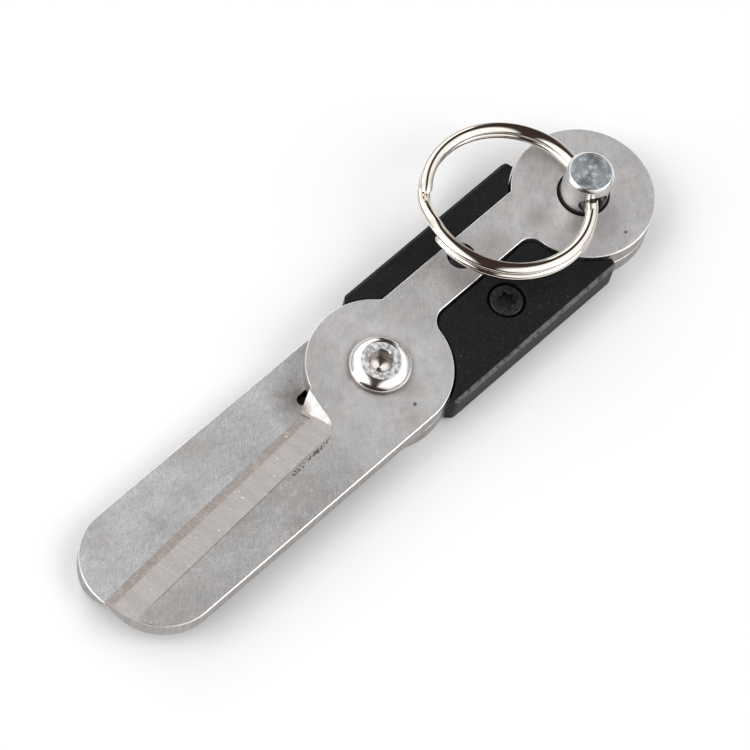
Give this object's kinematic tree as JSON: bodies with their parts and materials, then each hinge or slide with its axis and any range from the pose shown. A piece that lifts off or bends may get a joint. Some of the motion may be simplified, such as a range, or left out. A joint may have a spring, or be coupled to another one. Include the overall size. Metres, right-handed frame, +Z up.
{
  "type": "folding keyring scissors",
  "caption": "Pocket scissors made of two flat steel plates on one pivot, with plastic grips, a sliding lock pin and a split ring.",
  "frame": {"origin": "on the blade pivot's axis, level with the lower plate's outer face, which the tool lies on", "axes": "+X from the pivot to the tail along the closed tool, +Y towards the left grip, +Z up through the pivot screw to its head"},
  "size_m": [0.0877, 0.0249, 0.0102],
  "materials": {
    "lower_plate_steel": "stone-washed satin steel",
    "upper_plate_steel": "stone-washed satin steel with a cross-ground bevel",
    "grip_nylon": "fine-grained matte black",
    "pivot_chrome": "polished",
    "black_screw": "black oxide, semi-gloss",
    "spring_steel": "drawn wire",
    "pin_steel": "turned, zinc plated",
    "ball_chrome": "polished ball",
    "ring_chrome": "bright nickel plate"
  },
  "bodies": {
    "lower_half": {"lower_blade_plate": "lower_plate_steel", "right_grip": "grip_nylon", "right_grip_screw": "black_screw", "pivot_screw": "pivot_chrome", "opening_spring": "spring_steel"},
    "upper_half": {"upper_blade_plate": "upper_plate_steel", "left_grip": "grip_nylon", "left_grip_screw": "black_screw"},
    "lock_pin_body": {"lock_pin": "pin_steel", "detent_ball": "ball_chrome", "detent_spring": "spring_steel"},
    "ring_body": {"key_ring": "ring_chrome"}
  },
  "joints": [
    {"name": "blade_pivot", "type": "hinge", "parent": "lower_half", "child": "upper_half", "pos_m": [0, 0, 0], "axis": [0, 0, 1], "range_deg": [0, 28], "deforming": ["opening_spring"]},
    {"name": "pin_slide", "type": "slide", "parent": "upper_half", "child": "lock_pin_body", "axis": [0, 0, 1], "range_m": [-0.0005, 0.0025]},
    {"name": "ring_swing", "type": "hinge", "parent": "lock_pin_body", "child": "ring_body", "pos_m": [0.035, 0, 0.00705], "axis": [0.4571, 0.8894, 0], "range_deg": [-1.5, 175]}
  ]
}
